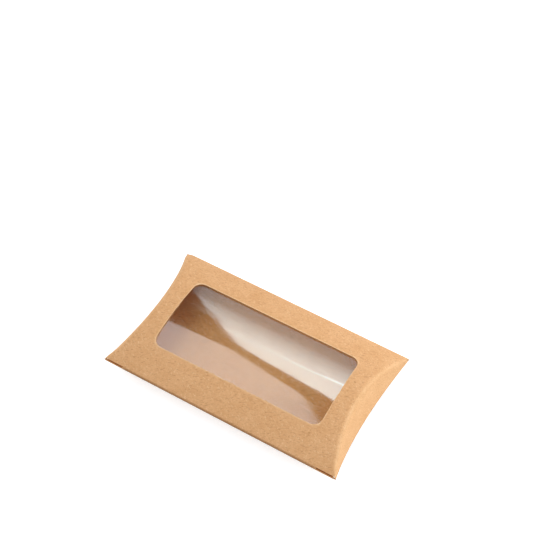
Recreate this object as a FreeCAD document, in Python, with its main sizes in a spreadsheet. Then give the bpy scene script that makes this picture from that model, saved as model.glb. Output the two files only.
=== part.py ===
"""Kraft pillow box with a film window, set up and closed.

One creased board makes two bowed panels, four end flaps and a glue tab. The long folds are soft and
rounded. A clear film is glued behind the window of the front panel.

+X runs along the long folds, +Y across the box and +Z up through the window. The origin is at the
middle of the flat strip that the belly rests on. The fold plane, half way up, holds both long folds.
"""
import FreeCAD, Part
import math
import os
import Sketcher

# Driving sizes in millimetres, leans and tapers in degrees. A share is a proportion of another size.
SIZES = (
    ("box_length", 125.0, "end to end along the long folds"),
    ("box_width", 73.0, "across the two long folds"),
    ("panel_rise", 9.5, "crown of each panel above or below the fold plane"),
    ("crease_depth", 8.5, "how far the end creases bow in from the box's corners"),
    ("board", 0.45, "thickness of the kraft board"),
    ("fold_radius", 0.7, "outer radius of the long folds"),
    ("rest_flat", 10.0, "width of the flat strip along the belly"),
    ("flap_lean", 12.0, "how far the outer flaps spring out from upright"),
    ("outer_reach_share", 0.9, "outer flap's reach below the fold plane, as a share of the rise"),
    ("inner_reach_share", 0.85, "inner flap's reach above the fold plane, as a share of the rise"),
    ("tip_gap", 0.5, "room between the inner flap's free edge and the inside of the front panel"),
    ("flap_gap", 0.3, "room between the inner and the outer flap, and beside the folds"),
    ("window_end_margin", 9.5, "board between the window and the middle of each end crease"),
    ("window_side_margin", 16.0, "board between the window and the outside of each long fold"),
    ("window_corner", 4.5, "corner radius of the window"),
    ("film", 0.15, "thickness of the window film"),
    ("film_end_margin", 5.0, "film behind the board past each end of the window"),
    ("film_tab_gap", 1.55, "room between the film's side and the glue tab"),
    ("glue", 0.1, "thickness of a dried glue layer"),
    ("glue_gap", 0.05, "room kept between a glue layer and each curved sheet that it holds"),
    ("glue_inset", 0.8, "glue kept back from the edges of what it holds"),
    ("tab_width", 8.0, "glue tab, from its fold to its free edge"),
    ("tab_root", 0.5, "start of the tab from the edge of the seam fold"),
    ("tab_end_gap", 10.0, "ends of the tab from the ends of the box"),
    ("tab_taper", 30.0, "slant of the tab's ends"),
    ("cut_overrun", 6.0, "how far cuts run past what they cut"),
)

# Sizes worked out from the driving ones.
DERIVED = (
    ("half_span", "Sizes.box_width / 2 - Sizes.fold_radius"),
    ("crown", "Sizes.panel_rise - Sizes.fold_radius"),
    ("bow_share", "crown / Sizes.panel_rise"),
    ("front_radius", "(half_span ^ 2 + crown ^ 2) / (2 * crown)"),
    ("front_centre", "2 * Sizes.panel_rise - front_radius"),
    ("half_flat", "Sizes.rest_flat / 2"),
    ("belly_chord", "half_span - half_flat"),
    ("belly_radius", "(belly_chord ^ 2 + crown ^ 2) / (2 * crown)"),
    ("outer_end", "Sizes.box_length / 2"),
    ("inner_end", "outer_end - Sizes.board - Sizes.flap_gap"),
    ("crease_slant", "sqrt(Sizes.crease_depth ^ 2 + Sizes.panel_rise ^ 2)"),
    ("crease_tilt", "atan2(Sizes.panel_rise; Sizes.crease_depth)"),
    ("crease_bow", "crease_slant * bow_share"),
    ("front_crease_radius", "(half_span ^ 2 + crease_bow ^ 2) / (2 * crease_bow)"),
    ("back_crease_radius", "(belly_chord ^ 2 + crease_bow ^ 2) / (2 * crease_bow)"),
    ("outer_hollow", "Sizes.crease_depth * cos(Sizes.flap_lean) - Sizes.panel_rise * sin(Sizes.flap_lean)"),
    ("outer_bow", "outer_hollow * bow_share"),
    ("outer_flap_radius", "(half_span ^ 2 + outer_bow ^ 2) / (2 * outer_bow)"),
    ("inner_bow", "Sizes.crease_depth * bow_share"),
    ("inner_flap_radius", "(belly_chord ^ 2 + inner_bow ^ 2) / (2 * inner_bow)"),
    ("flap_half_width", "half_span - Sizes.flap_gap"),
    ("outer_drop", "Sizes.outer_reach_share * Sizes.panel_rise"),
    ("outer_foot", "Sizes.crease_depth - (Sizes.panel_rise + outer_drop) * tan(Sizes.flap_lean)"),
    ("inner_climb", "Sizes.inner_reach_share * Sizes.panel_rise"),
    ("window_length", "2 * (outer_end - Sizes.crease_depth - Sizes.window_end_margin)"),
    ("window_width", "Sizes.box_width - 2 * Sizes.window_side_margin"),
    ("panel_inside", "front_radius - Sizes.board"),
    ("glue_radius", "panel_inside - Sizes.glue_gap"),
    ("glue_inside", "glue_radius - Sizes.glue"),
    ("film_radius", "glue_inside - Sizes.glue_gap"),
    ("tab_outer_y", "half_span - Sizes.tab_root"),
    ("tab_inner_y", "tab_outer_y - Sizes.tab_width"),
    ("tab_end", "outer_end - Sizes.tab_end_gap"),
    ("tab_slant", "Sizes.tab_width * tan(Sizes.tab_taper)"),
    ("film_half_width", "tab_inner_y - Sizes.film_tab_gap"),
    ("film_length", "window_length + 2 * Sizes.film_end_margin"),
)

# A turn about Y. The sheets set its angle.
ABOUT_Y = FreeCAD.Rotation(FreeCAD.Vector(0, 1, 0), 1)

doc = FreeCAD.newDocument("pillow_box")


def fill_sheets():
    """Put the driving sizes in one sheet and the sizes worked out from them in another."""
    sizes = doc.addObject("Spreadsheet::Sheet", "Sizes")
    for row, (alias, value, meaning) in enumerate(SIZES, start=1):
        sizes.set(f"A{row}", str(value))
        sizes.setAlias(f"A{row}", alias)
        sizes.set(f"B{row}", meaning)
    derived = doc.addObject("Spreadsheet::Sheet", "Derived")
    for row, (alias, rule) in enumerate(DERIVED, start=1):
        derived.set(f"A{row}", "=" + rule)
        derived.setAlias(f"A{row}", alias)
    doc.recompute()


def new_body(label):
    body = doc.addObject("PartDesign::Body", label)
    body.Label = label
    return body


def new_sketch(body, role, name, base=(), tilt=None):
    """Sketch on an origin plane of its own body, moved by base and turned about Y by tilt."""
    plane = next(item for item in body.Origin.OriginFeatures if item.Role == role)
    sketch = body.newObject("Sketcher::SketchObject", f"{body.Label}_{name}")
    sketch.AttachmentSupport = [(plane, "")]
    sketch.MapMode = "FlatFace"
    if tilt:
        sketch.AttachmentOffset = FreeCAD.Placement(FreeCAD.Vector(), ABOUT_Y)
        sketch.setExpression("AttachmentOffset.Rotation.Angle", tilt)
    for axis, rule in zip("xyz", base):
        sketch.setExpression(f"AttachmentOffset.Base.{axis}", rule)
    return sketch


def spot_of(sketch, point):
    """Where a point given as a pair of rules lies now."""
    return FreeCAD.Vector(*(sketch.evalExpression(rule) for rule in point), 0)


def bind(sketch, constraint, rule):
    """Add a dimension to a sketch and tie it to the sheets."""
    index = sketch.addConstraint(constraint)
    sketch.setExpression(f"Constraints[{index}]", rule)


def pin(sketch, corner, across=None, up=None):
    """Hold a sketch point, given as (curve, point number), at the rules for its coordinates."""
    for kind, rule in (("DistanceX", across), ("DistanceY", up)):
        if rule is not None:
            bind(sketch, Sketcher.Constraint(kind, -1, 1, *corner, sketch.evalExpression(rule)), rule)


def join(sketch, first, second):
    """Draw a line between two corners that are already held."""
    line = sketch.addGeometry(Part.LineSegment(sketch.getPoint(*first), sketch.getPoint(*second)))
    sketch.addConstraint(Sketcher.Constraint("Coincident", line, 1, *first))
    sketch.addConstraint(Sketcher.Constraint("Coincident", line, 2, *second))


def outline(sketch, points, closed=True, start=None, end=None):
    """Draw straight lines through points given as pairs of rules.

    An open outline runs from one corner that is already held to another.
    """
    corners = []
    for point in points:
        corner = (sketch.addGeometry(Part.Point(spot_of(sketch, point)), True), 1)
        pin(sketch, corner, *point)
        corners.append(corner)
    run = [*corners, corners[0]] if closed else [start, *corners, end]
    for first, second in zip(run, run[1:]):
        join(sketch, first, second)


def arc(sketch, deep, centre, radius, ends, side):
    """Draw an arc about a centre and return its two ends.

    deep is the sketch axis, x or y, that the arc bows along. centre and ends are rules, with the
    ends given across the bow, and side says on which side of the centre the arc lies.
    """
    middle_across, middle_deep = (sketch.evalExpression(rule) for rule in centre)
    size = sketch.evalExpression(radius)
    angles = []
    for rule in ends:
        offset = sketch.evalExpression(rule) - middle_across
        drop = side * math.sqrt(size ** 2 - offset ** 2)
        angles.append(math.atan2(drop, offset) if deep == "y" else math.atan2(offset, drop))
    flipped = (angles[1] - angles[0]) % math.tau > math.pi
    first, last = reversed(angles) if flipped else angles
    spot = (middle_across, middle_deep) if deep == "y" else (middle_deep, middle_across)
    circle = Part.Circle(FreeCAD.Vector(*spot, 0), FreeCAD.Vector(0, 0, 1), size)
    curve = sketch.addGeometry(Part.ArcOfCircle(circle, first, last))
    pin(sketch, (curve, 3), *(centre if deep == "y" else reversed(centre)))
    bind(sketch, Sketcher.Constraint("Radius", curve, size), radius)
    corners = [(curve, 2), (curve, 1)] if flipped else [(curve, 1), (curve, 2)]
    for corner, rule in zip(corners, ends):
        pin(sketch, corner, **{"across" if deep == "y" else "up": rule})
    return corners


def bow(sketch, deep, centre_deep, radius, half_width, side, half_flat=None):
    """Draw a bow that is even about the middle, flat for half_flat each way, and return its ends."""
    near, far = f"-({half_width})", half_width
    if half_flat is None:
        return arc(sketch, deep, ("0", centre_deep), radius, (near, far), side)
    low = arc(sketch, deep, (f"-{half_flat}", centre_deep), radius, (near, f"-{half_flat}"), side)
    high = arc(sketch, deep, (half_flat, centre_deep), radius, (half_flat, far), side)
    join(sketch, low[1], high[0])
    return [low[0], high[1]]


def band(sketch, deep, centre_deep, radii, half_width, side, half_flat=None):
    """Close two bows about one centre into the section of a bowed sheet."""
    first, second = (
        bow(sketch, deep, centre_deep, radius, half_width, side, half_flat) for radius in radii
    )
    join(sketch, first[0], second[0])
    join(sketch, first[1], second[1])


def pad(body, sketch, length):
    feature = body.newObject("PartDesign::Pad", f"{sketch.Label}_pad")
    feature.Profile = sketch
    feature.SideType = "Symmetric"
    feature.setExpression("Length", length)
    doc.recompute()


def cut(body, sketch):
    """Cut a sketch through the body, both ways, and make sure that it took something away."""
    before = body.Shape.Volume
    feature = body.newObject("PartDesign::Pocket", f"{sketch.Label}_cut")
    feature.Profile = sketch
    feature.Type = "ThroughAll"
    feature.SideType = "Symmetric"
    doc.recompute()
    if not body.Shape.Volume < before:
        raise RuntimeError(f"{feature.Label} cuts nothing")


def crease_sketch(body, name, end, face, keep_panel):
    """Sketch in the slanted plane of an end crease, to cut square to it along the curved crease.

    end is 1 or -1 for the box's right or left end, and face is 1 or -1 for the front or back panel.
    The panel keeps what lies inside the crease and the flap what lies outside it.
    """
    reach = "Derived.outer_end" if face > 0 else "Derived.inner_end"
    radius = "Derived.front_crease_radius" if face > 0 else "Derived.back_crease_radius"
    base = (f"{end} * {reach}", "0", "Sizes.panel_rise")
    sketch = new_sketch(body, "XY_Plane", name, base, f"{end * face} * Derived.crease_tilt")
    centre = f"{end} * ({radius} - Derived.crease_slant)"
    half_flat = None if face > 0 else "Derived.half_flat"
    low, high = bow(sketch, "x", centre, radius, "Derived.half_span", -end, half_flat)
    side_x = f"-{end} * (Derived.crease_slant - Derived.crease_bow)"
    far_x = f"{end} * Sizes.cut_overrun"
    if not keep_panel:
        far_x = f"-{end} * (2 * Derived.crease_slant + Sizes.cut_overrun)"
    far_y = "(Derived.half_span + Sizes.cut_overrun)"
    around = ((side_x, far_y), (far_x, far_y), (far_x, f"-{far_y}"), (side_x, f"-{far_y}"))
    outline(sketch, around, closed=False, start=high, end=low)
    return sketch


def make_front_panel():
    body = new_body("front_panel")
    section = new_sketch(body, "YZ_Plane", "section")
    radii = ("Derived.front_radius", "Derived.panel_inside")
    band(section, "y", "Derived.front_centre", radii, "Derived.half_span", 1)
    pad(body, section, "Sizes.box_length")
    for end, name in ((1, "right_crease"), (-1, "left_crease")):
        cut(body, crease_sketch(body, name, end, 1, keep_panel=True))
    cut(body, rounded_window(body))
    return body


def rounded_window(body):
    """The die-cut window, a rectangle with rounded corners."""
    sketch = new_sketch(body, "XY_Plane", "window")
    size = sketch.evalExpression("Sizes.window_corner")
    half_x = "Derived.window_length / 2"
    half_y = "Derived.window_width / 2"
    inner_x = f"({half_x} - Sizes.window_corner)"
    inner_y = f"({half_y} - Sizes.window_corner)"
    sides = (
        ((f"-{inner_x}", f"-{half_y}"), (inner_x, f"-{half_y}")),
        ((half_x, f"-{inner_y}"), (half_x, inner_y)),
        ((inner_x, half_y), (f"-{inner_x}", half_y)),
        ((f"-{half_x}", inner_y), (f"-{half_x}", f"-{inner_y}")),
    )
    lines = []
    for start, end in sides:
        line = sketch.addGeometry(Part.LineSegment(spot_of(sketch, start), spot_of(sketch, end)))
        pin(sketch, (line, 1), *start)
        pin(sketch, (line, 2), *end)
        lines.append(line)
    centres = (
        (inner_x, f"-{inner_y}"),
        (inner_x, inner_y),
        (f"-{inner_x}", inner_y),
        (f"-{inner_x}", f"-{inner_y}"),
    )
    for turn, centre in enumerate(centres):
        circle = Part.Circle(spot_of(sketch, centre), FreeCAD.Vector(0, 0, 1), size)
        start_angle = (turn - 1) * math.pi / 2
        corner = sketch.addGeometry(Part.ArcOfCircle(circle, start_angle, start_angle + math.pi / 2))
        before, after = lines[turn], lines[(turn + 1) % len(lines)]
        sketch.addConstraint(Sketcher.Constraint("Coincident", corner, 1, before, 2))
        sketch.addConstraint(Sketcher.Constraint("Coincident", corner, 2, after, 1))
        bind(sketch, Sketcher.Constraint("Radius", corner, size), "Sizes.window_corner")
    return sketch


def make_back_panel():
    body = new_body("back_panel")
    section = new_sketch(body, "YZ_Plane", "section")
    radii = ("Derived.belly_radius", "Derived.belly_radius - Sizes.board")
    band(section, "y", "Derived.belly_radius", radii, "Derived.half_span", -1, "Derived.half_flat")
    pad(body, section, "2 * Derived.inner_end")
    for end, name in ((1, "right_crease"), (-1, "left_crease")):
        cut(body, crease_sketch(body, name, end, -1, keep_panel=True))
    return body


def make_long_fold(label, side):
    """Half-round roll of board that joins the panels along one long edge."""
    body = new_body(label)
    section = new_sketch(body, "YZ_Plane", "section")
    edge = f"{side} * Derived.half_span"
    low = (edge, "Sizes.panel_rise - Sizes.fold_radius")
    nose = (f"{edge} + {side} * Sizes.fold_radius", "Sizes.panel_rise")
    high = (edge, "Sizes.panel_rise + Sizes.fold_radius")
    line = section.addGeometry(Part.LineSegment(spot_of(section, low), spot_of(section, high)))
    pin(section, (line, 1), *low)
    pin(section, (line, 2), *high)
    curve = section.addGeometry(Part.Arc(*(spot_of(section, point) for point in (low, nose, high))))
    start, end = (1, 2) if side > 0 else (2, 1)
    section.addConstraint(Sketcher.Constraint("Coincident", curve, start, line, 1))
    section.addConstraint(Sketcher.Constraint("Coincident", curve, end, line, 2))
    section.addConstraint(Sketcher.Constraint("PointOnObject", curve, 3, line))
    pad(body, section, "Sizes.box_length")
    return body


def make_outer_flap(label, end):
    """End flap of the front panel, sprung out a little, with its foot just above the belly."""
    body = new_body(label)
    base = (f"{end} * Derived.outer_end", "0", "Sizes.panel_rise")
    section = new_sketch(body, "XY_Plane", "section", base, f"-{end} * Sizes.flap_lean")
    radii = ("Derived.outer_flap_radius", "Derived.outer_flap_radius + Sizes.board")
    centre = f"{end} * (Derived.outer_flap_radius - Derived.outer_hollow)"
    band(section, "x", centre, radii, "Derived.flap_half_width", -end)
    pad(body, section, "4 * Sizes.panel_rise")
    cut(body, crease_sketch(body, "crease", end, 1, keep_panel=False))
    foot = new_sketch(body, "XZ_Plane", "foot")
    low_z = "Sizes.panel_rise - 2 * Derived.outer_drop"
    out_x = f"{end} * (Derived.outer_end + Sizes.cut_overrun)"
    outline(foot, (
        (f"{end} * Derived.outer_end", "Sizes.panel_rise"),
        (f"{end} * (Derived.outer_end - 2 * Derived.outer_foot)", low_z),
        (f"{end} * (Derived.outer_end - 2 * Derived.outer_foot)", f"{low_z} - Sizes.cut_overrun"),
        (out_x, f"{low_z} - Sizes.cut_overrun"),
        (out_x, "Sizes.panel_rise"),
    ))
    cut(body, foot)
    return body


def make_inner_flap(label, end):
    """End flap of the back panel, upright behind the outer flap."""
    body = new_body(label)
    base = (f"{end} * Derived.inner_end", "0", "Sizes.panel_rise")
    section = new_sketch(body, "XY_Plane", "section", base)
    radii = ("Derived.inner_flap_radius", "Derived.inner_flap_radius + Sizes.board")
    centre = f"{end} * (Derived.inner_flap_radius - Sizes.crease_depth)"
    band(section, "x", centre, radii, "Derived.flap_half_width", -end, "Derived.half_flat")
    pad(body, section, "4 * Sizes.panel_rise")
    cut(body, crease_sketch(body, "crease", end, -1, keep_panel=False))
    tip = new_sketch(body, "XZ_Plane", "tip")
    root_z = "Sizes.panel_rise - Sizes.board - Sizes.tip_gap"
    high_z = f"{root_z} + 2 * Derived.inner_climb"
    out_x = f"{end} * (Derived.inner_end + Sizes.cut_overrun)"
    outline(tip, (
        (f"{end} * Derived.inner_end", root_z),
        (f"{end} * (Derived.inner_end - 2 * Sizes.crease_depth)", high_z),
        (f"{end} * (Derived.inner_end - 2 * Sizes.crease_depth)", f"{high_z} + Sizes.cut_overrun"),
        (out_x, f"{high_z} + Sizes.cut_overrun"),
        (out_x, root_z),
    ))
    cut(body, tip)
    return body


def make_sheet(label, radii, half_width, length):
    """Thin layer that follows the inside of the front panel, even about the middle."""
    body = new_body(label)
    section = new_sketch(body, "YZ_Plane", "section")
    band(section, "y", "Derived.front_centre", radii, half_width, 1)
    pad(body, section, length)
    return body


def make_window_film():
    radii = ("Derived.film_radius", "Derived.film_radius - Sizes.film")
    return make_sheet("window_film", radii, "Derived.film_half_width", "Derived.film_length")


def make_film_glue():
    """Glue around the window, kept back from the film's edge and from the window's edge."""
    radii = ("Derived.glue_radius", "Derived.glue_inside")
    half_width = "Derived.film_half_width - Sizes.glue_inset"
    body = make_sheet("film_glue", radii, half_width, "Derived.film_length - 2 * Sizes.glue_inset")
    hole = new_sketch(body, "XY_Plane", "hole")
    half_x = "(Derived.window_length / 2 + Sizes.glue_inset)"
    half_y = "(Derived.window_width / 2 + Sizes.glue_inset)"
    outline(hole, (
        (half_x, half_y),
        (f"-{half_x}", half_y),
        (f"-{half_x}", f"-{half_y}"),
        (half_x, f"-{half_y}"),
    ))
    cut(body, hole)
    return body


def make_seam_layer(label, radii, inset, length):
    """Layer behind the front panel along the seam, from the tab's fold to its free edge."""
    body = new_body(label)
    section = new_sketch(body, "YZ_Plane", "section")
    ends = (f"-(Derived.tab_outer_y - {inset})", f"-(Derived.tab_inner_y + {inset})")
    centre = ("0", "Derived.front_centre")
    first, second = (arc(section, "y", centre, radius, ends, 1) for radius in radii)
    join(section, first[0], second[0])
    join(section, first[1], second[1])
    pad(body, section, length)
    return body


def make_glue_tab():
    radii = ("Derived.film_radius", "Derived.film_radius - Sizes.board")
    body = make_seam_layer("glue_tab", radii, "0", "2 * Derived.tab_end")
    for end, name in ((1, "right_slant"), (-1, "left_slant")):
        slant = new_sketch(body, "XY_Plane", name)
        far_y = "-Derived.tab_outer_y + 2 * Sizes.tab_width"
        out_x = f"{end} * (Derived.tab_end + Sizes.cut_overrun)"
        outline(slant, (
            (f"{end} * Derived.tab_end", "-Derived.tab_outer_y"),
            (f"{end} * (Derived.tab_end - 2 * Derived.tab_slant)", far_y),
            (out_x, far_y),
            (out_x, "-Derived.tab_outer_y"),
        ))
        cut(body, slant)
    return body


def make_seam_glue():
    radii = ("Derived.glue_radius", "Derived.glue_inside")
    length = "2 * (Derived.tab_end - Derived.tab_slant - Sizes.glue_inset)"
    return make_seam_layer("seam_glue", radii, "Sizes.glue_inset", length)


def check_and_write(bodies):
    """Refuse a failed feature or a broken solid, then write each sub-part."""
    doc.recompute()
    for item in doc.Objects:
        if {"Invalid", "Error"} & set(item.State):
            raise RuntimeError(f"{item.Label} failed")
    for body in bodies:
        if body.Shape.isNull() or not body.Shape.isValid() or len(body.Shape.Solids) != 1:
            raise RuntimeError(f"{body.Label} is not one sound solid")
    os.makedirs("parts", exist_ok=True)
    for body in bodies:
        body.Shape.exportStep(f"parts/{body.Label}.step")
        box = body.Shape.BoundBox
        print(f"{body.Label:18s} {body.Shape.Volume:9.2f} mm3  "
              f"x {box.XMin:7.2f} {box.XMax:7.2f}  y {box.YMin:7.2f} {box.YMax:7.2f}  "
              f"z {box.ZMin:6.2f} {box.ZMax:6.2f}")


fill_sheets()
check_and_write([
    make_front_panel(),
    make_back_panel(),
    make_long_fold("spine_fold", 1),
    make_long_fold("seam_fold", -1),
    make_glue_tab(),
    make_outer_flap("outer_flap_right", 1),
    make_outer_flap("outer_flap_left", -1),
    make_inner_flap("inner_flap_right", 1),
    make_inner_flap("inner_flap_left", -1),
    make_window_film(),
    make_film_glue(),
    make_seam_glue(),
])
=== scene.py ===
# %% [markdown]
# # A kraft pillow box with a film window
# A pillow box is one piece of board. It is die-cut flat, creased, glued along one long edge and
# pushed into shape: the two panels bow, and the curved creases at the ends let the flaps snap in.
# A clear film behind the window shows what is inside. This lesson follows the box maker: cut the
# flat blank, mix its finishes, wrap it round its section, fold the ends, glue in the film, and then
# set up the camera and the light.
#
# The imported model is the frame. Every piece made here takes its place from it, and the sleeve and
# the film hang on one body, the sleeve.

# %% Load the frame
import math

import bmesh
import bpy
import numpy as np
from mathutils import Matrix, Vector


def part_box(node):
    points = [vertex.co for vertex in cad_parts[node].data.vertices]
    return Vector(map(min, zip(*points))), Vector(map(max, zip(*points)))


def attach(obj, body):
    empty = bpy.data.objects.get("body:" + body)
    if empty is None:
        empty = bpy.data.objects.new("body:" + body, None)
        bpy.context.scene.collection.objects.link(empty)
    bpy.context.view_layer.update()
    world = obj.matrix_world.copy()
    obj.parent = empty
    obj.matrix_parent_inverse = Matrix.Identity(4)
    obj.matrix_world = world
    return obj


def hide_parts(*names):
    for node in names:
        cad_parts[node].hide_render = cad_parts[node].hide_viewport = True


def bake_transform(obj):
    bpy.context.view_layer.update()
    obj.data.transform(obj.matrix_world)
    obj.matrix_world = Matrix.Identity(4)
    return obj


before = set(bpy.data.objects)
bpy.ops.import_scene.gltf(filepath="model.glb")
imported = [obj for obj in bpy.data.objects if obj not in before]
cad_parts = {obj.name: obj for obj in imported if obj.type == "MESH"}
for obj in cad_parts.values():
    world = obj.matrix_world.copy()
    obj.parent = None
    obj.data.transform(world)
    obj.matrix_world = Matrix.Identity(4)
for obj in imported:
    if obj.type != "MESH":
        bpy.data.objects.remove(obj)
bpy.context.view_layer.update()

MM = 0.001


def in_mm(sizes):
    return [round(size / MM, 2) for size in sizes]


# %% [markdown]
# ## The panels
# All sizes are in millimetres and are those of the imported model, so the new pieces lie where its
# solids lie. A bowed panel is an arc, given by its half width and by the height of its crown. At the
# folds it runs straight on past the arc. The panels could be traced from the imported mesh, but a
# function that gives the height at any y is exact and can be asked by every later step.

# %% Heights of the panels
WIDTH, RISE = 73.0, 9.5
FOLD_EDGE = 0.7
FLAT_HALF = 5.0

half_span = WIDTH / 2 - FOLD_EDGE
crown = RISE - FOLD_EDGE
front_radius = (half_span ** 2 + crown ** 2) / (2 * crown)
front_centre = 2 * RISE - front_radius
belly_chord = half_span - FLAT_HALF
belly_radius = (belly_chord ** 2 + crown ** 2) / (2 * crown)


def end_slope(radius, half):
    """Slope at the end of an arc of that radius and half width."""
    return half / math.sqrt(radius ** 2 - half ** 2)


def bowed_height(y, radius, half):
    """Height of an arc round the front panel's centre, straight on past its half width."""
    arc_y = np.clip(y, -half, half)
    return front_centre + np.sqrt(radius ** 2 - arc_y ** 2) - np.abs(y - arc_y) * end_slope(radius, half)


def front_height(y):
    return bowed_height(y, front_radius, half_span)


def back_height(y):
    """Height of the back panel's outside, flat along the strip that it rests on."""
    across = np.maximum(np.abs(y) - FLAT_HALF, 0)
    arc = np.minimum(across, belly_chord)
    bowed = belly_radius - np.sqrt(belly_radius ** 2 - arc ** 2)
    return bowed + (across - arc) * end_slope(belly_radius, belly_chord)


packed_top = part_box("front_panel")[1].z
print("crown", round(float(front_height(0.0)), 3), "mm, packed", round(packed_top / MM, 3), "mm")

# %% [markdown]
# ## The section
# Seen from its end, the board goes once round the box: from the raw edge over the front panel,
# round the spine fold, back under the belly, and up round the seam fold into the glue tab. Drawing
# that section once, as one line, keeps every fold smooth. A fold is a corner between two straight
# runs, rounded with a small arc, so one helper serves for all folds.

# %% Rounded corners
def unit(*parts):
    return np.array(parts) / np.linalg.norm(parts)


def rounded_corner(corner, arriving, leaving, radius, count):
    """Points of the arc that turns a path from one direction into another, and its tangent length."""
    turn = math.acos(float(np.clip(arriving @ leaving, -1, 1)))
    reach = radius * math.tan(turn / 2)
    side = leaving - arriving * (arriving @ leaving)
    side = side / np.linalg.norm(side)
    angles = np.linspace(0, turn, count)[:, None]
    start = corner - arriving * reach
    return start + radius * (np.sin(angles) * arriving + (1 - np.cos(angles)) * side), reach


def meeting_point(point, direction, other_point, other_direction):
    steps = np.linalg.solve(np.column_stack([direction, -other_direction]), other_point - point)
    return point + direction * steps[0]


square_reach = rounded_corner(np.zeros(2), unit(1, 0), unit(0, 1), 1.0, 2)[1]
print("a square corner of 1 mm radius starts", round(square_reach, 3), "mm before the corner")

# %% Folds of the section
BOARD, GLUE_LAYER = 0.45, 0.2
TAB_ROOT = 35.3
SPINE_RADIUS, SEAM_RADIUS = 0.51, 0.2
SPINE_POINTS, SEAM_POINTS = 17, 13
tab_radius = front_radius - BOARD - GLUE_LAYER


def tab_height(y):
    """Height of the tab's upper face, one glue layer under the front panel."""
    return bowed_height(y, tab_radius, TAB_ROOT)


front_slope = end_slope(front_radius, half_span)
belly_slope = end_slope(belly_radius, belly_chord)
tab_slope = end_slope(tab_radius, TAB_ROOT)
spine = meeting_point(
    np.array([half_span, RISE + FOLD_EDGE]), unit(1, -front_slope),
    np.array([half_span, RISE - FOLD_EDGE]), unit(1, belly_slope),
)
spine_arc = rounded_corner(
    spine, unit(1, -front_slope), unit(-1, -belly_slope), SPINE_RADIUS, SPINE_POINTS
)[0]
seam = meeting_point(
    np.array([-half_span, RISE - FOLD_EDGE]), unit(-1, belly_slope),
    np.array([-TAB_ROOT, tab_height(-TAB_ROOT)]), unit(-1, -tab_slope),
)
seam_arc = rounded_corner(seam, unit(-1, belly_slope), unit(1, tab_slope), SEAM_RADIUS, SEAM_POINTS)[0]
print("folds reach y", round(spine_arc[:, 0].max(), 2), "and", round(seam_arc[:, 0].min(), 2), "mm")

# %% Draw the section
RAW_EDGE, TAB_EDGE = 35.55, 27.3
PANEL_POINTS, TAB_POINTS = 361, 61


def along(first, last, count, height):
    y = np.linspace(first, last, count)
    return np.column_stack([y, height(y)])


front_run = along(-RAW_EDGE, spine_arc[0, 0], PANEL_POINTS, front_height)[:-1]
back_run = along(spine_arc[-1, 0], seam_arc[0, 0], PANEL_POINTS, back_height)[1:-1]
tab_run = along(seam_arc[-1, 0], -TAB_EDGE, TAB_POINTS, tab_height)[1:]
section = np.vstack([front_run, spine_arc, back_run, seam_arc, tab_run])
run = np.concatenate([[0], np.cumsum(np.linalg.norm(np.diff(section, axis=0), axis=1))])
starts = np.cumsum([len(part) for part in (front_run, spine_arc, back_run, seam_arc)])
spine_from, spine_to = run[starts[0]], run[starts[1] - 1]
seam_from, seam_to = run[starts[2]], run[starts[3] - 1]
spine_mid, seam_mid = (spine_from + spine_to) / 2, (seam_from + seam_to) / 2
print("section", len(section), "points,", round(run[-1], 1), "mm of board round the box")

# %% [markdown]
# ## The creases at the ends
# Each end crease lies in a slanted plane, which cuts a bowed panel along a curve. The flap leaves
# the crease in another direction, so the board turns a corner there. The score makes that corner
# soft, and its radius shrinks towards the tips, where the flap runs out. A bevel would give one radius
# everywhere, so the path over the crease is worked out for each y instead.

# %% Crease points
LENGTH, CREASE_DEPTH = 125.0, 8.5
FLAP_LEAN = math.radians(12)
OUTER_DROP, INNER_CLIMB = 0.9 * RISE, 0.85 * RISE
INNER_SETBACK, INNER_ROOT = 0.75, RISE - 0.95


def outer_crease(y):
    """Crease point in x and z, and how far the outer flap reaches from it."""
    share = (front_height(y) - RISE) / RISE
    corner = np.array([LENGTH / 2 - CREASE_DEPTH * share, RISE + RISE * share])
    return corner, max(share, 0) * (RISE + OUTER_DROP) / math.cos(FLAP_LEAN)


def inner_crease(y):
    """Crease point in x and z, and how far the inner flap reaches from it."""
    share = (RISE - back_height(y)) / RISE
    corner = np.array([LENGTH / 2 - INNER_SETBACK - CREASE_DEPTH * share, RISE - RISE * share])
    return corner, max(INNER_ROOT + INNER_CLIMB * share - corner[1], 0)


print("flap reach", round(outer_crease(0.0)[1], 2), "and", round(inner_crease(0.0)[1], 2), "mm")

# %% Path over a crease
CREASE_RADIUS, SOFT_SHARE = 3.0, 0.35
LEAD = 0.4
ARC_POINTS = 11
PANEL_WAY = np.array([1.0, 0.0])
OUTER_WAY = np.array([math.sin(FLAP_LEAN), -math.cos(FLAP_LEAN)])
INNER_WAY = np.array([0.0, 1.0])


def half_turn(way):
    """Tangent of half the angle that the board turns through at a crease."""
    return math.tan(math.acos(PANEL_WAY @ way) / 2)


def fold_path(y, crease, way):
    """The start just before a crease, the arc round it and the flap's free edge, in x and z."""
    corner, reach = crease(y)
    radius = min(CREASE_RADIUS, SOFT_SHARE * reach / half_turn(way))
    arc, length = rounded_corner(corner, PANEL_WAY, way, radius, ARC_POINTS)
    return corner - PANEL_WAY * (length + LEAD), arc, corner + way * reach


print("outer flap starts at x", round(fold_path(0.0, outer_crease, OUTER_WAY)[0][0], 2), "mm")

# %% [markdown]
# ## The flat blank
# The blank is drawn flat, as the die cuts it: x runs along the box and y along the section line. It
# ends where the flaps begin, because the flaps turn and are pieces of their own. Past the flaps, at
# the four tips, the board grows quickly to its full length. The tab is shorter and tapers.

# %% Length of the blank
FLAP_HALF = 35.5
TAB_HALF, TAB_TAPER = 52.5, math.radians(30)
TIP_SPAN, TIP_CURVE, TIP_CLEAR = 0.4, 0.7, 0.1


def front_distance(y):
    return float(np.interp(y, section[: len(front_run), 0], run[: len(front_run)]))


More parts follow.
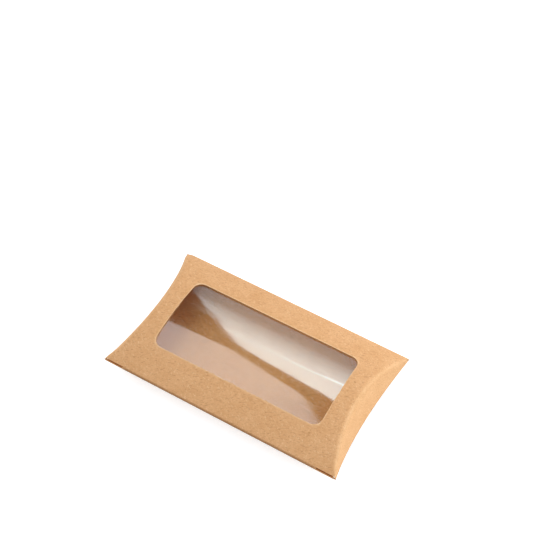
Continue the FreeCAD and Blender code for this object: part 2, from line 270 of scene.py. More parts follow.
def half_length(distance):
    """Half the board's length along the box at a distance round the section."""
    if distance > seam_mid:
        return TAB_HALF - (distance - seam_mid) * math.tan(TAB_TAPER)
    y = np.interp(distance, run, section[:, 0])
    crease, way = (outer_crease, OUTER_WAY) if distance < spine_mid else (inner_crease, INNER_WAY)
    start = fold_path(np.clip(y, -FLAP_HALF, FLAP_HALF), crease, way)[0][0]
    share = np.clip((abs(y) - FLAP_HALF) / TIP_SPAN, 0, 1)
    return start + (LENGTH / 2 - TIP_CLEAR - start) * share ** TIP_CURVE


print("lengths", round(2 * half_length(spine_mid), 2), "and", round(2 * half_length(run[-1]), 2), "mm")

# %% [markdown]
# ### The window's outline
# The die cuts the window as a rectangle with rounded corners. Its four sides are kept apart, each
# from the middle of one corner to the middle of the next, because each side becomes one part of the
# mesh round the window. That keeps the cut edge exact, which a grid with a hole would not.

# %% Window
WINDOW_X, WINDOW_Y, WINDOW_CORNER = 44.5, 20.5, 4.5
CORNER_POINTS, LONG_POINTS, SHORT_POINTS = 6, 73, 31

turn = np.linspace(math.pi / 4, 0, CORNER_POINTS)[:-1]
across_arc, down_arc = WINDOW_CORNER * np.sin(turn), WINDOW_CORNER * (1 - np.cos(turn))


def side_of_window(half, depth, count):
    """Points along one side of the window: along the side, and out from the middle."""
    straight = np.linspace(WINDOW_CORNER - half, half - WINDOW_CORNER, count)
    ends, rims = straight[-1] + across_arc, depth - down_arc
    position = np.concatenate([-ends, straight, ends[::-1]])
    return position, np.concatenate([rims, np.full(count, depth), rims[::-1]])


long_side, long_out = side_of_window(WINDOW_X, WINDOW_Y, LONG_POINTS)
short_side, short_out = side_of_window(WINDOW_Y, WINDOW_X, SHORT_POINTS)
columns = long_side / long_side[-1]
print("window outline", 2 * (len(long_side) + len(short_side)) - 4, "points")

# %% [markdown]
# ### Numbers for the finish
# Handling rubs the board pale at its creases. Along the window's edge the pale line is partly rubbing
# and partly a painted highlight, where the cut edge catches the light. The dark line along the glued
# seam is painted shade, for the shadow under the front panel's raw edge. Both follow the shape, so each
# point of the blank carries two numbers, crease and seam, that the finish reads later. Painting an
# image would tie the look to one size of box.

# %% Points of the blank
RINGS = np.concatenate([[0, 0.02, 0.05], np.linspace(0.1, 1, 15)])
WEAR_REACH, ARRIS_WEAR_AND_HIGHLIGHT = 0.9, 3.0
# Reach and fade of the painted shade along the seam.
SEAM_SHADE, SHADE_FADE = 0.9, 2.0


def wear_near(distance):
    """How worn the board looks at a distance from a fold, in millimetres."""
    return math.exp(-(distance / WEAR_REACH) ** 2)


def ring_spot(share, x, y):
    """A point between the window's edge, at share 0, and the edge of the panel: x, distance, numbers."""
    distance = front_distance(y)
    # Pale line along the window's edge: rubbing, and a painted highlight where the cut edge catches the
    # light.
    arris = ARRIS_WEAR_AND_HIGHLIGHT * max(0, 1 - share / RINGS[2])
    crease = wear_near(half_length(distance) + LEAD + CREASE_RADIUS - abs(x))
    return x, distance, max(arris, crease), 0.0


def row_spot(column, distance):
    """A point of a plain row. Painted shade darkens the seam as far along as the tab reaches."""
    x = column * half_length(distance)
    # Painted shade along the seam, for the shadow under the front panel's raw edge.
    painted_seam_shade = wear_near((distance - seam_mid) / SEAM_SHADE)
    painted_seam_shade *= np.clip((TAB_HALF - abs(x)) / SHADE_FADE, 0, 1)
    return x, distance, wear_near(distance - spine_mid), painted_seam_shade


print("wear half a millimetre from a fold", round(wear_near(0.5), 2))

# %% [markdown]
# ### Grids of the blank
# The mesh is made of grids of quads: four round the window, and plain rows for the rest. A Boolean cut
# would leave long thin triangles that shade badly on a bowed panel. The rows lie closer at the folds,
# where the board turns sharply. A small nick in the window's left edge, as in the photo, comes from
# moving a few points of the outline.

# %% Grids
RING_HALF = 34.3
NICK_AT, NICK_WIDE, NICK_DEEP = 2.0, 0.5, 0.22
EDGE_ROWS, SPINE_ROWS, BELLY_ROWS, SEAM_ROWS, TAB_ROWS = 7, 13, 61, 11, 12


def ring_grid(inner, outer):
    """Rows of points from the window's outline to the edge of the panel."""
    return [
        [ring_spot(share, *(start + (end - start) * share)) for share in RINGS]
        for start, end in zip(inner, outer)
    ]


grids = []
for side in (-1, 1):
    edge = columns * half_length(front_distance(side * RING_HALF))
    inner = np.column_stack([long_side, side * long_out])
    outer = np.column_stack([edge, np.full(len(columns), side * RING_HALF)])
    grids.append(ring_grid(inner[::side], outer[::side]))
for side in (-1, 1):
    nick = NICK_DEEP * np.exp(-((short_side - NICK_AT) / NICK_WIDE) ** 4) * (side < 0)
    inner = np.column_stack([side * (short_out - nick), short_side])
    ys = short_side / short_side[-1] * RING_HALF
    outer = np.column_stack([[side * half_length(front_distance(y)) for y in ys], ys])
    grids.append(ring_grid(inner[::-side], outer[::-side]))

near, far = front_distance(-RING_HALF), front_distance(RING_HALF)
spread = (1 - np.cos(np.linspace(0, math.pi, BELLY_ROWS))) / 2
parts = (
    np.linspace(far, spine_from, EDGE_ROWS), np.linspace(spine_from, spine_to, SPINE_ROWS),
    spine_to + (seam_from - spine_to) * spread,
    np.linspace(seam_from, seam_to, SEAM_ROWS), np.linspace(seam_to, run[-1], TAB_ROWS),
)
rest = np.concatenate([part[:-1] for part in parts] + [run[-1:]])
for rows in (np.linspace(0, near, EDGE_ROWS), rest):
    grids.append([[row_spot(column, row) for column in columns] for row in rows])
print(len(grids), "grids,", sum(len(grid) * len(grid[0]) for grid in grids), "points")

# %% Mesh of the blank
MERGE = 0.0002


def blank_mesh():
    flat = bmesh.new()
    # crease: wear, and a painted highlight along the window's edge; seam: painted shade.
    crease = flat.verts.layers.float.new("crease")
    seam_shade_layer = flat.verts.layers.float.new("seam")
    for grid in grids:
        rows = []
        for row in grid:
            rows.append([flat.verts.new((x * MM, distance * MM, 0)) for x, distance, *_ in row])
            for vert, (*_, wear, shade) in zip(rows[-1], row):
                vert[crease], vert[seam_shade_layer] = wear, shade
        for low, high in zip(rows, rows[1:]):
            for left in range(len(low) - 1):
                flat.faces.new((low[left], low[left + 1], high[left + 1], high[left]))
    bmesh.ops.remove_doubles(flat, verts=flat.verts, dist=MERGE * MM)
    bmesh.ops.recalc_face_normals(flat, faces=flat.faces)
    mesh = bpy.data.meshes.new("flat_blank")
    flat.to_mesh(mesh)
    flat.free()
    if mesh.polygons[0].normal.z < 0:
        mesh.flip_normals()
    return mesh


blank = bpy.data.objects.new("flat_blank", blank_mesh())
bpy.context.collection.objects.link(blank)
print("blank", len(blank.data.vertices), "points,", len(blank.data.polygons), "faces")

# %% [markdown]
# ## Finishes
# Every finish starts from the real material. Colours are written as they look, in hex, and one
# function turns them to the linear values that the shader needs. Patterns are given by a real size
# in millimetres, on Object coordinates, so a pattern runs on from one piece to the next. One small
# function adds any node, and the tree then reads as a list of steps.

# %% Node helpers
def add(tree, kind, wires=None, **settings):
    """Add a node with its settings. wires gives each input a value or the socket that feeds it."""
    node = tree.nodes.new(kind)
    for name, value in settings.items():
        setattr(node, name, value)
    for socket, value in (wires or {}).items():
        if isinstance(value, bpy.types.NodeSocket):
            tree.links.new(value, node.inputs[socket])
        else:
            node.inputs[socket].default_value = value
    return node


def linear(colour):
    channels = [int(colour[at:at + 2], 16) / 255 for at in (1, 3, 5)]
    return (*(c / 12.92 if c <= 0.04045 else ((c + 0.055) / 1.055) ** 2.4 for c in channels), 1.0)


def new_material(name):
    material = bpy.data.materials.new(name)
    material.use_nodes = True
    material.node_tree.nodes.clear()
    return material, material.node_tree


def per_mm(size):
    """Texture scale whose pattern repeats about every size millimetres."""
    return 1 / (size * MM)


print("a middle grey in linear values", round(linear("#808080")[0], 3))

# %% [markdown]
# ### Kraft board: grain and fibres
# Kraft board is unbleached pulp, pressed and left uncoated. The eye sees a fine grain and short dark
# and pale fibres. Fibres are really about 0.03 mm thick and are drawn ten times as coarse, so that
# they show. They could be scattered as threads, but a noise that is stretched one way, with only its
# peaks shown, covers the sheet evenly and costs no mesh.

# %% Grain and fibres
FIBRE_WIDTH = 0.3
# Colour, angle to the box's length, length in mm, where the noise starts to show, and strength.
FIBRES = (
    ("#9a6736", 22, 2.2, 0.60, 0.5),
    ("#f0d3ab", -31, 1.8, 0.62, 0.5),
    ("#a8743f", 78, 1.5, 0.64, 0.4),
)


def pulp_layers(tree, place, grain_shade):
    """Layers of grain and fibres, each a share and a colour, and the height of their relief."""
    grain = add(tree, "ShaderNodeTexNoise", {
        "Vector": place, "Scale": per_mm(0.8), "Detail": 3, "Roughness": 0.65,
    }).outputs[0]
    speckle = add(tree, "ShaderNodeMapRange", {"Value": grain, 1: 0.3, 2: 0.7, 3: 0.0, 4: 0.5})
    layers, height = [(speckle.outputs[0], grain_shade)], grain
    for shade, angle, length, low, strength in FIBRES:
        lie = add(tree, "ShaderNodeMapping", {
            "Vector": place, "Rotation": (0, 0, math.radians(angle)),
            "Scale": (length * MM, FIBRE_WIDTH * MM, FIBRE_WIDTH * MM),
        }, vector_type="TEXTURE")
        strand = add(tree, "ShaderNodeTexNoise", {"Vector": lie.outputs[0], "Scale": 1, "Detail": 1})
        shown = add(tree, "ShaderNodeMapRange", {
            "Value": strand.outputs[0], 1: low, 2: low + 0.1, 3: 0.0, 4: strength,
        }).outputs[0]
        layers.append((shown, shade))
        height = add(tree, "ShaderNodeMath", {0: height, 1: shown}).outputs[0]
    return layers, height


print(len(FIBRES), "kinds of fibre")

# %% [markdown]
# ### Kraft board: wear, painted highlight and painted shade
# A rubbed fold is pale where the surface fibres are broken, but never evenly so: a noise breaks it up.
# Along the window's edge the same pale layer is also a painted highlight. The dark line at the seam is
# painted shade, for the shadow under the front panel's raw edge. Both layers read the numbers that the
# mesh carries.

# %% Wear and painted light
SEAM_SHADE_SHARE = 0.7


def wear_and_painted_light_layers(tree, place):
    """Pale rubbed folds with a painted highlight at the window's edge, and painted shade at the seam."""
    scuff = add(tree, "ShaderNodeTexNoise", {
        "Vector": place, "Scale": per_mm(1.6), "Detail": 3, "Roughness": 0.7,
    })
    pale_share = add(tree, "ShaderNodeMapRange", {
        "Value": scuff.outputs[0], 1: 0.35, 2: 0.65, 3: 0.05, 4: 0.3,
    })
    layers = []
    # Pale crease layer: rubbing, plus a painted highlight at the window's edge. Dark #6f4423 seam layer:
    # painted shade.
    for number, share, shade in (
        ("crease", pale_share.outputs[0], "#f1cfa4"), ("seam", SEAM_SHADE_SHARE, "#6f4423"),
    ):
        carried = add(tree, "ShaderNodeAttribute", attribute_name=number).outputs["Fac"]
        shown = add(tree, "ShaderNodeMath", {0: carried, 1: share}, operation="MULTIPLY")
        layers.append((shown.outputs[0], shade))
    return layers


print("share of the dark line at the seam", SEAM_SHADE_SHARE)

# %% [markdown]
# ### Kraft board: the two faces
# Under the grain lies a warm tan with soft clouds, where the pulp is thicker or thinner. The board is
# matt, with very little sheen. The inside face gets a lighter, more orange tan than the outside: painted
# light, for the light that bounces round inside the box. The same function makes both from other colours.

# %% Kraft board
def kraft_face(name, deep, pale, grain_shade):
    material, tree = new_material(name)
    place = add(tree, "ShaderNodeTexCoord").outputs["Object"]
    clouds = add(tree, "ShaderNodeTexNoise", {
        "Vector": place, "Scale": per_mm(8), "Detail": 3, "Roughness": 0.55,
    }).outputs[0]
    layers, height = pulp_layers(tree, place, grain_shade)
    colour = linear(deep)
    for share, shade in ((clouds, pale), *layers, *wear_and_painted_light_layers(tree, place)):
        mixed = add(tree, "ShaderNodeMix", {0: share, 6: colour, 7: linear(shade)}, data_type="RGBA")
        colour = mixed.outputs[2]
    rough = add(tree, "ShaderNodeMapRange", {"Value": clouds, 3: 0.72, 4: 0.9})
    relief = add(tree, "ShaderNodeBump", {"Height": height, "Strength": 0.25, "Distance": 0.05 * MM})
    board = add(tree, "ShaderNodeBsdfPrincipled", {
        "Base Color": colour, "Roughness": rough.outputs[0], "Normal": relief.outputs[0],
        "IOR": 1.5, "Specular IOR Level": 0.2,
    })
    add(tree, "ShaderNodeOutputMaterial", {"Surface": board.outputs[0]})
    return material


kraft = kraft_face("kraft_board_outside", "#cf9c6a", "#e3b589", "#c08d59")
# Inside colours: painted light, lighter and more orange than the outside for the light bounced inside.
kraft_inside = kraft_face("kraft_board_inside", "#de9c5e", "#f2ba7c", "#cb8d51")
print("kraft board", len(kraft.node_tree.nodes), "nodes a face")

# %% [markdown]
# ### Cut edge
# Where the die cut it, the board shows its plies: thin layers of fibre, rougher than the face. The
# plies lie along the sheet, so the pattern is fine across it and long along it. A noise that is
# squeezed in height gives that without an image.

# %% Cut edge
cut_edge, tree = new_material("kraft_board_cut_edge")
place = add(tree, "ShaderNodeTexCoord").outputs["Object"]
lie = add(tree, "ShaderNodeMapping", {
    "Vector": place, "Scale": (1.4 * MM, 1.4 * MM, 0.12 * MM),
}, vector_type="TEXTURE")
plies = add(tree, "ShaderNodeTexNoise", {
    "Vector": lie.outputs[0], "Scale": 1, "Detail": 3, "Roughness": 0.6,
}).outputs[0]
colour = add(tree, "ShaderNodeMix", {
    0: plies, 6: linear("#b98a58"), 7: linear("#ecca9e"),
}, data_type="RGBA")
relief = add(tree, "ShaderNodeBump", {"Height": plies, "Strength": 0.4, "Distance": 0.04 * MM})
plies_shader = add(tree, "ShaderNodeBsdfPrincipled", {
    "Base Color": colour.outputs[2], "Roughness": 0.95, "Normal": relief.outputs[0],
    "Specular IOR Level": 0.15,
})
add(tree, "ShaderNodeOutputMaterial", {"Surface": plies_shader.outputs[0]})
print("cut edge", len(tree.nodes), "nodes")

# %% [markdown]
# ### PET film
# The window is PET film, drawn smooth between rollers: clear, with sharp reflections that a few faint
# rub marks soften. It is so thin that light goes straight through, so a transparent shader serves
# better than glass. What doesn't go through is reflected: about 5% where the film faces the eye, and
# more at a slant, as the fifth power of it.

# %% PET film
FACING_SHARE = 0.049
pet, tree = new_material("clear_pet_film")
place = add(tree, "ShaderNodeTexCoord").outputs["Object"]
lie = add(tree, "ShaderNodeMapping", {
    "Vector": place, "Scale": (30 * MM, 5 * MM, 5 * MM),
}, vector_type="TEXTURE")
rubs = add(tree, "ShaderNodeTexNoise", {
    "Vector": lie.outputs[0], "Scale": 1, "Detail": 4, "Roughness": 0.6,
})
rough = add(tree, "ShaderNodeMapRange", {"Value": rubs.outputs[0], 1: 0.35, 2: 0.7, 3: 0.04, 4: 0.12})
slant = add(tree, "ShaderNodeLayerWeight").outputs["Facing"]
grazing = add(tree, "ShaderNodeMath", {0: slant, 1: 5.0}, operation="POWER")
reflected = add(tree, "ShaderNodeMath", {
    0: grazing.outputs[0], 1: 1 - FACING_SHARE, 2: FACING_SHARE,
}, operation="MULTIPLY_ADD")
through = add(tree, "ShaderNodeBsdfTransparent", {"Color": linear("#fbfcfc")})
gloss = add(tree, "ShaderNodeBsdfAnisotropic", {"Color": (1, 1, 1, 1), "Roughness": rough.outputs[0]})
film_shader = add(tree, "ShaderNodeMixShader", {
    0: reflected.outputs[0], 1: through.outputs[0], 2: gloss.outputs[0],
})
add(tree, "ShaderNodeOutputMaterial", {"Surface": film_shader.outputs[0]})
print("film", len(tree.nodes), "nodes")

# %% [markdown]
# ### Dried glue
# White glue dries to a thin, slightly cloudy cream layer. It only shows inside the box, at the seam
# and round the window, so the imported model's own solids are kept for it and get this finish.

# %% Dried glue
glue, tree = new_material("dried_white_glue")
place = add(tree, "ShaderNodeTexCoord").outputs["Object"]
streaks = add(tree, "ShaderNodeTexNoise", {"Vector": place, "Scale": per_mm(2.5), "Detail": 3}).outputs[0]
colour = add(tree, "ShaderNodeMix", {
    0: streaks, 6: linear("#d9cfb4"), 7: linear("#f2ecdc"),
}, data_type="RGBA")
rough = add(tree, "ShaderNodeMapRange", {"Value": streaks, 3: 0.3, 4: 0.55})
cream = add(tree, "ShaderNodeBsdfPrincipled", {
    "Base Color": colour.outputs[2], "Roughness": rough.outputs[0], "IOR": 1.47,
})
add(tree, "ShaderNodeOutputMaterial", {"Surface": cream.outputs[0]})
for name in ("film_glue", "seam_glue"):
    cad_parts[name].data.materials.clear()
    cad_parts[name].data.materials.append(glue)
print("finishes", sorted(m.name for m in (kraft, kraft_inside, cut_edge, pet, glue)))

# %% [markdown]
# ## Wrapping the blank
# The sleeve follows a rule: each point of the flat blank goes to the point of the section line at the
# same distance. Geometry Nodes can say exactly that. The tree samples the section curve at the
# blank's y and moves the point there, so another section or another blank would need no new code.

# %% Tree that wraps a flat blank round a section
def new_geometry_tree(name, inputs):
    tree = bpy.data.node_groups.new(name, "GeometryNodeTree")
    for label, kind in inputs:
        tree.interface.new_socket(label, in_out="INPUT", socket_type=kind)
    tree.interface.new_socket("Geometry", in_out="OUTPUT", socket_type="NodeSocketGeometry")
    return tree, add(tree, "NodeGroupInput")


wrap, given = new_geometry_tree("wrap_blank", (
    ("Geometry", "NodeSocketGeometry"), ("Section", "NodeSocketObject"), ("Finish", "NodeSocketMaterial"),
))
flat_place = add(wrap, "ShaderNodeSeparateXYZ", {0: add(wrap, "GeometryNodeInputPosition").outputs[0]})
line = add(wrap, "GeometryNodeObjectInfo", {"Object": given.outputs["Section"]})
sample = add(wrap, "GeometryNodeSampleCurve", {
    "Curves": line.outputs["Geometry"], "Length": flat_place.outputs["Y"],
}, mode="LENGTH", use_all_curves=True)
spot = add(wrap, "ShaderNodeSeparateXYZ", {0: sample.outputs["Position"]})
moved = add(wrap, "ShaderNodeCombineXYZ", {
    "X": flat_place.outputs["X"], "Y": spot.outputs["Y"], "Z": spot.outputs["Z"],
})
wrapped = add(wrap, "GeometryNodeSetPosition", {
    "Geometry": given.outputs["Geometry"], "Position": moved.outputs[0],
})
real = add(wrap, "GeometryNodeRealizeInstances", {0: wrapped.outputs[0]})
dressed = add(wrap, "GeometryNodeSetMaterial", {
    "Geometry": real.outputs[0], "Material": given.outputs["Finish"],
})
add(wrap, "NodeGroupOutput", {"Geometry": dressed.outputs[0]})
print("wrapping tree", len(wrap.nodes), "nodes")

# %% [markdown]
# ### From modifiers to a plain piece
# A finished piece is a plain mesh. Solidify gives the sheet its thickness, inwards, with the cut
# edge's finish on its rim and the inside finish on its back. Handling has pushed the four tips in a
# little. A smooth push that fades with the distance from each tip does that to all pieces alike, so
# that they still meet.

# %% Worn tips
# End, side, how far the tip is pushed and over what reach, in mm.
TIPS = ((-1, 1, 1.5, 2.4), (-1, -1, 0.4, 1.2), (1, 1, 0.3, 1.0), (1, -1, 0.4, 1.2))
TIP_PUSH = np.array([0.85, 0.5, 0.0])


def soften_tips(mesh):
    spots = np.empty(3 * len(mesh.vertices))
    mesh.vertices.foreach_get("co", spots)
    spots = spots.reshape(-1, 3)
    for end, side, push, reach in TIPS:
        corner = np.array([end * LENGTH / 2, side * WIDTH / 2, RISE]) * MM
        near = np.exp(-(np.linalg.norm(spots - corner, axis=1) / (reach * MM)) ** 2)
        spots -= near[:, None] * push * MM * TIP_PUSH * (end, side, 0)
    mesh.vertices.foreach_set("co", spots.ravel())


print("the most worn tip is pushed in by", max(push for _, _, push, _ in TIPS), "mm")

# %% Finished pieces
SHARP = math.radians(40)


def add_tree(piece, tree, values):
    modifier = piece.modifiers.new(tree.name, "NODES")
    modifier.node_group = tree
    for item in tree.interface.items_tree:
        if item.in_out == "INPUT" and item.name in values:
            modifier[item.identifier] = values[item.name]


def thicken(piece, thickness):
    solid = piece.modifiers.new("thickness", "SOLIDIFY")
    solid.thickness = thickness * MM
    solid.offset = -1
    solid.material_offset_rim, solid.material_offset = 1, 2


def finished(source, name):
    """Make what the modifiers of source give into a plain piece, and remove source."""
    view = bpy.context.evaluated_depsgraph_get()
    mesh = bpy.data.meshes.new_from_object(source.evaluated_get(view))
    bpy.data.objects.remove(source)
    mesh.name = name
    mesh.polygons.foreach_set("use_smooth", [True] * len(mesh.polygons))
    mesh.set_sharp_from_angle(angle=SHARP)
    soften_tips(mesh)
    piece = bpy.data.objects.new(name, mesh)
    bpy.context.collection.objects.link(piece)
    return piece


print("edges stay crisp from", round(math.degrees(SHARP)), "degrees")

# %% [markdown]
# ### The sleeve
# The sleeve is all of the board but the flaps: both panels, both folds and the tab, in one piece as on
# the real box. The section becomes a curve that the tree can sample, and goes when the sleeve is made.

# %% Wrap the sleeve
section_data = bpy.data.curves.new("section_line", "CURVE")
section_data.dimensions = "3D"
spline = section_data.splines.new("POLY")
spline.points.add(len(section) - 1)
for spline_point, (y, z) in zip(spline.points, section):
    spline_point.co = (0, y * MM, z * MM, 1)
section_line = bpy.data.objects.new("section_line", section_data)
bpy.context.collection.objects.link(section_line)
for finish in (kraft, cut_edge, kraft_inside):
    blank.data.materials.append(finish)
add_tree(blank, wrap, {"Section": section_line, "Finish": kraft})
thicken(blank, BOARD)
sleeve = finished(blank, "sleeve_board")
bpy.data.objects.remove(section_line)
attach(sleeve, "sleeve")
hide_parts("front_panel", "back_panel", "spine_fold", "seam_fold", "glue_tab")
print("sleeve", len(sleeve.data.polygons), "faces,", in_mm(sleeve.dimensions), "mm")

# %% [markdown]
# ## The end flaps
# A flap is a curved sheet that starts on its panel, turns round the soft crease and runs straight to
# its free edge. Bending a flat sheet with a modifier would give one straight fold, so the flap is a
# grid across the box and along the fold path, which follows the crease's changing radius.

# %% Flap meshes
FLAP_ROWS, FLAP_STEPS = 121, 17


def flap_mesh(name, end, crease, way, up):
    """A flap's outside as a grid across the box and along the fold path."""
    grid, wear = [], []
    for y in np.linspace(-FLAP_HALF, FLAP_HALF, FLAP_ROWS):
        start, arc, foot = fold_path(y, crease, way)
        straight = [arc[-1] + (foot - arc[-1]) * step for step in np.linspace(0, 1, FLAP_STEPS)[1:]]
        path = [start, *arc, *straight]
        grid.append([(end * x * MM, y * MM, z * MM) for x, z in path])
        middle = arc[len(arc) // 2]
        wear += [wear_near(np.linalg.norm(spot - middle)) for spot in path]
    count = len(grid[0])
    faces = []
    for row in range(len(grid) - 1):
        for column in range(count - 1):
            corner = row * count + column
            face = (corner, corner + 1, corner + count + 1, corner + count)
            faces.append(face if end * up > 0 else face[::-1])
    mesh = bpy.data.meshes.new(name)
    mesh.from_pydata([spot for row in grid for spot in row], [], faces)
    mesh.attributes.new("crease", "FLOAT", "POINT").data.foreach_set("value", wear)
    for finish in (kraft, cut_edge, kraft_inside):
        mesh.materials.append(finish)
    return mesh


print("a flap's grid has", FLAP_ROWS, "by", ARC_POINTS + FLAP_STEPS, "points")

# %% [markdown]
# ### Where the bend at the crease lies
# The bend would run square to the slanted plane of the crease, so that it starts along the whole crease
# at once. Its ends are worked out, but nothing bends the flaps by them.

# %% Make the flaps
BEND_LENGTH = 5.5


def bend_ends(end, hinge, way, up):
    """Where the bend of a flap starts and ends, square to the slanted plane of its crease."""
    first = hinge - PANEL_WAY * (CREASE_RADIUS * half_turn(way) + LEAD)
    last = first + unit(-RISE, -up * CREASE_DEPTH) * BEND_LENGTH
    return [(end * x * MM, 0, z * MM) for x, z in (first, last)]


def make_flap(name, end, crease, way, up):
    source = bpy.data.objects.new(name + "_sheet", flap_mesh(name, end, crease, way, up))
    bpy.context.collection.objects.link(source)
    thicken(source, BOARD)
    flap = finished(source, name + "_board")
    bend_ends(end, crease(0.0)[0], way, up)
    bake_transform(flap)
    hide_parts(name)
    low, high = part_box(name)
    print(name, len(flap.data.polygons), "faces, packed from x", in_mm((low.x, high.x)), "mm")


for end, side in ((1, "right"), (-1, "left")):
    make_flap(f"outer_flap_{side}", end, outer_crease, OUTER_WAY, 1)
    make_flap(f"inner_flap_{side}", end, inner_crease, INNER_WAY, -1)

# %% [markdown]
# ## The film
# The film is cut as a rectangle and glued behind the window, so it bows with the panel. It is not
# quite even: between the glued edges it buckles by a fraction of a millimetre, and that is what makes
# its reflections wander. A cloth simulation could find the buckle, but a slow noise with a fixed seed
# is the same on every run. The tree makes the sheet from its sizes, bows it, and adds the buckle where
# nothing holds it.

# %% Inputs of the film's tree
FILM_COLUMNS, FILM_ROWS = 100, 61
bow, given = new_geometry_tree("bowed_film", (
    ("Length", "NodeSocketFloat"), ("Width", "NodeSocketFloat"), ("Radius", "NodeSocketFloat"),
    ("Centre Height", "NodeSocketFloat"), ("Free Length", "NodeSocketFloat"),
    ("Free Width", "NodeSocketFloat"), ("Buckle Height", "NodeSocketFloat"),
    ("Buckle Size", "NodeSocketFloat"), ("Seed", "NodeSocketFloat"), ("Finish", "NodeSocketMaterial"),
))
sheet = add(bow, "GeometryNodeMeshGrid", {
    "Size X": given.outputs["Length"], "Size Y": given.outputs["Width"],
    "Vertices X": FILM_COLUMNS, "Vertices Y": FILM_ROWS,
})
flat_spot = add(bow, "GeometryNodeInputPosition").outputs[0]
flat_place = add(bow, "ShaderNodeSeparateXYZ", {0: flat_spot})
print("film grid", FILM_COLUMNS, "by", FILM_ROWS, "points")

# %% Buckle between the glued edges
def held(coordinate, free):
    """1 in the middle of the free span, falling smoothly to 0 at the glue."""
    value = coordinate
    for operation, others in (
        ("MULTIPLY", {1: 2.0}), ("DIVIDE", {1: given.outputs[free]}), ("ABSOLUTE", {}),
        ("POWER", {1: 3.0}), ("MULTIPLY_ADD", {1: -1.0, 2: 1.0}), ("MAXIMUM", {1: 0.0}),
    ):
        value = add(bow, "ShaderNodeMath", {0: value, **others}, operation=operation).outputs[0]
    return value


fineness = add(bow, "ShaderNodeMath", {0: 1.0, 1: given.outputs["Buckle Size"]}, operation="DIVIDE")
noise = add(bow, "ShaderNodeTexNoise", {
    "Vector": flat_spot, "W": given.outputs["Seed"], "Scale": fineness.outputs[0], "Detail": 0.0,
}, noise_dimensions="4D")
reach = noise.outputs[0]
for operation, other in (
    ("SUBTRACT", 0.5), ("MULTIPLY", given.outputs["Buckle Height"]),
    ("MULTIPLY", held(flat_place.outputs["X"], "Free Length")),
    ("MULTIPLY", held(flat_place.outputs["Y"], "Free Width")), ("ADD", given.outputs["Radius"]),
):
    reach = add(bow, "ShaderNodeMath", {0: reach, 1: other}, operation=operation).outputs[0]
print("film tree", len(bow.nodes), "nodes so far")

# %% Bow of the film
angle = add(bow, "ShaderNodeMath", {
    0: flat_place.outputs["Y"], 1: given.outputs["Radius"],
}, operation="DIVIDE").outputs[0]
sine = add(bow, "ShaderNodeMath", {0: angle}, operation="SINE")
cosine = add(bow, "ShaderNodeMath", {0: angle}, operation="COSINE")
across = add(bow, "ShaderNodeMath", {0: reach, 1: sine.outputs[0]}, operation="MULTIPLY")
height = add(bow, "ShaderNodeMath", {
    0: reach, 1: cosine.outputs[0], 2: given.outputs["Centre Height"],
}, operation="MULTIPLY_ADD")
bowed = add(bow, "ShaderNodeCombineXYZ", {
    "X": flat_place.outputs["X"], "Y": across.outputs[0], "Z": height.outputs[0],
})
set_bow = add(bow, "GeometryNodeSetPosition", {"Geometry": sheet.outputs[0], "Position": bowed.outputs[0]})
real = add(bow, "GeometryNodeRealizeInstances", {0: set_bow.outputs[0]})
dressed = add(bow, "GeometryNodeSetMaterial", {
    "Geometry": real.outputs[0], "Material": given.outputs["Finish"],
})
add(bow, "NodeGroupOutput", {"Geometry": dressed.outputs[0]})
print("film tree", len(bow.nodes), "nodes")

# %% Make the film
FILM, FILM_X, FILM_Y = 0.15, 49.5, 25.75
BUCKLE_HEIGHT, BUCKLE_SIZE, BUCKLE_SEED = 0.2, 45, 4.0
source = bpy.data.objects.new("film_sheet", bpy.data.meshes.new("film_sheet"))
bpy.context.collection.objects.link(source)
source.data.materials.append(pet)
add_tree(source, bow, {
    "Length": 2 * FILM_X * MM, "Width": 2 * tab_radius * math.asin(FILM_Y / tab_radius) * MM,
    "Radius": tab_radius * MM, "Centre Height": front_centre * MM,
    "Free Length": 2 * WINDOW_X * MM, "Free Width": 2 * WINDOW_Y * MM,
    "Buckle Height": BUCKLE_HEIGHT * MM, "Buckle Size": BUCKLE_SIZE * MM, "Seed": BUCKLE_SEED,
    "Finish": pet,
})
thicken(source, FILM)
film = finished(source, "window_film_sheet")
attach(film, "sleeve")
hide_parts("window_film")
print("film", len(film.data.polygons), "faces,", in_mm(film.dimensions), "mm")

# %% [markdown]
# ## Camera
# The camera stands where the photo was taken: about 54 degrees up and 30 degrees round to the right,
# with a long lens. Angles and a distance from the point that it looks at are easier to set against a
# photo than a position and a rotation.

# %% Camera
AIM = Vector((-23.32, 49.16, 9.5)) * MM
AZIMUTH, ELEVATION, DISTANCE = math.radians(30.42), math.radians(53.89), 634.3 * MM
SENSOR, LENS = 36, 86.3
back_way = Vector((
    math.sin(AZIMUTH) * math.cos(ELEVATION), -math.cos(AZIMUTH) * math.cos(ELEVATION), math.sin(ELEVATION),
))
camera = bpy.data.objects.new("camera", bpy.data.cameras.new("camera"))
camera.location = AIM + back_way * DISTANCE
camera.rotation_mode = "QUATERNION"
camera.rotation_quaternion = (-back_way).to_track_quat("-Z", "Y")
camera.data.sensor_width, camera.data.lens = SENSOR, LENS
bpy.context.collection.objects.link(camera)
bpy.context.scene.camera = camera
bpy.context.scene.view_settings.view_transform = "Standard"
print("camera", in_mm(camera.location), "mm")

# %% [markdown]
# ## Light
# The room is bright at the front left and dim at the back right, like a studio with one white wall. More
# lamps could do that, but a world that is brighter on one side gives softer shade. Reflections see pale
# walls near the floor and a dark ceiling: a clear film shows from the side, and stays clear where it
# looks up. The camera sees plain white. Three soft lamps add what the room lacks: one high behind the
# box on the left, one low and close behind it on the right, and a cool one that faces the right end.

